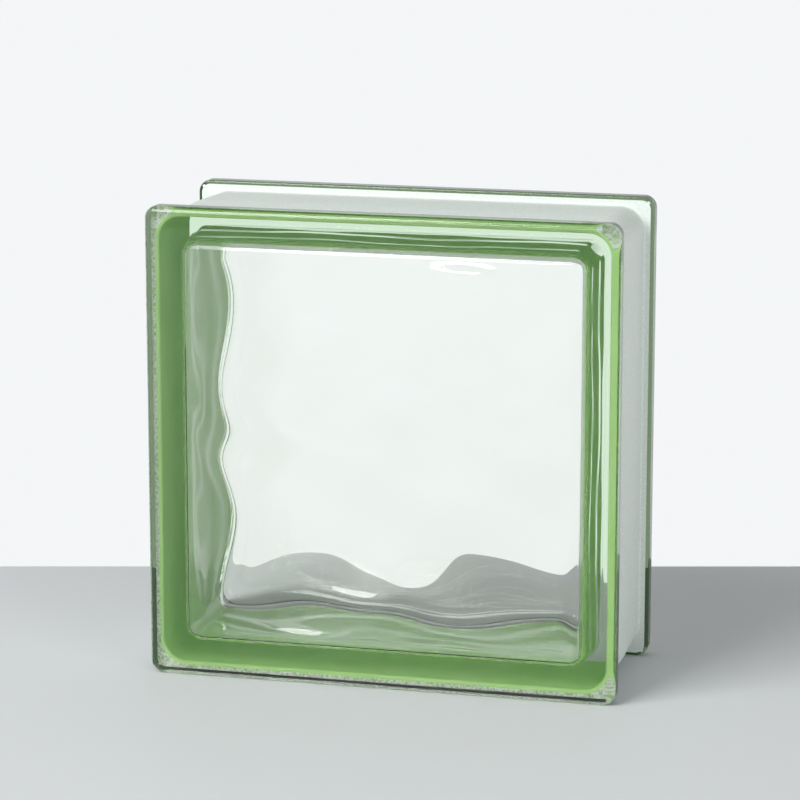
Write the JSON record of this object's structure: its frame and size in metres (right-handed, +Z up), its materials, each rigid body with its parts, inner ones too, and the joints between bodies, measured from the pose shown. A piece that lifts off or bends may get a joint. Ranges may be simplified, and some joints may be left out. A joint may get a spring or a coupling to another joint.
{
  "type": "hollow glass block",
  "caption": "Square hollow glass block with wavy inner pane faces, a recessed mortar groove round its edge and a green-backed white edge coating.",
  "frame": {"origin": "centre of the footprint on the level floor, midway between the two faces", "axes": "+Z up, +Y through the block from the front face to the back face, +X along the faces to the right"},
  "size_m": [0.19, 0.08, 0.19],
  "materials": {
    "glass": "smooth pressed soda-lime glass, faintly green",
    "edge_coating": "matt sprayed coating, white outside and green against the glass"
  },
  "bodies": {
    "root": {"front_shell": "glass", "back_shell": "glass", "edge_coating": "edge_coating"}
  },
  "joints": []
}
